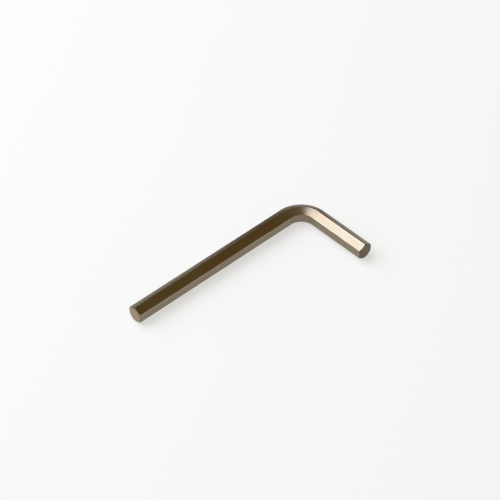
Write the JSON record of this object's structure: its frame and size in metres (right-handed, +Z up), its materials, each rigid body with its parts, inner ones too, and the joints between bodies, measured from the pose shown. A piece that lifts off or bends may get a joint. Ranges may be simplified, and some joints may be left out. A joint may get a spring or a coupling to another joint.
{
  "type": "hex key",
  "caption": "L-shaped hexagonal steel key with chamfered ends, for turning socket screws from either arm.",
  "frame": {"origin": "middle of the bottom of the bounding box, on the surface the key lies on", "axes": "+X along the long arm, from its end to the bend; -Y along the short arm, from the bend to its end; +Z up"},
  "size_m": [0.071, 0.03, 0.0056],
  "materials": {
    "plated_steel": "bright nickel-plated drawn steel bar, faintly warm, with fine lengthwise drawing lines"
  },
  "bodies": {
    "root": {"hex_key": "plated_steel"}
  },
  "joints": []
}
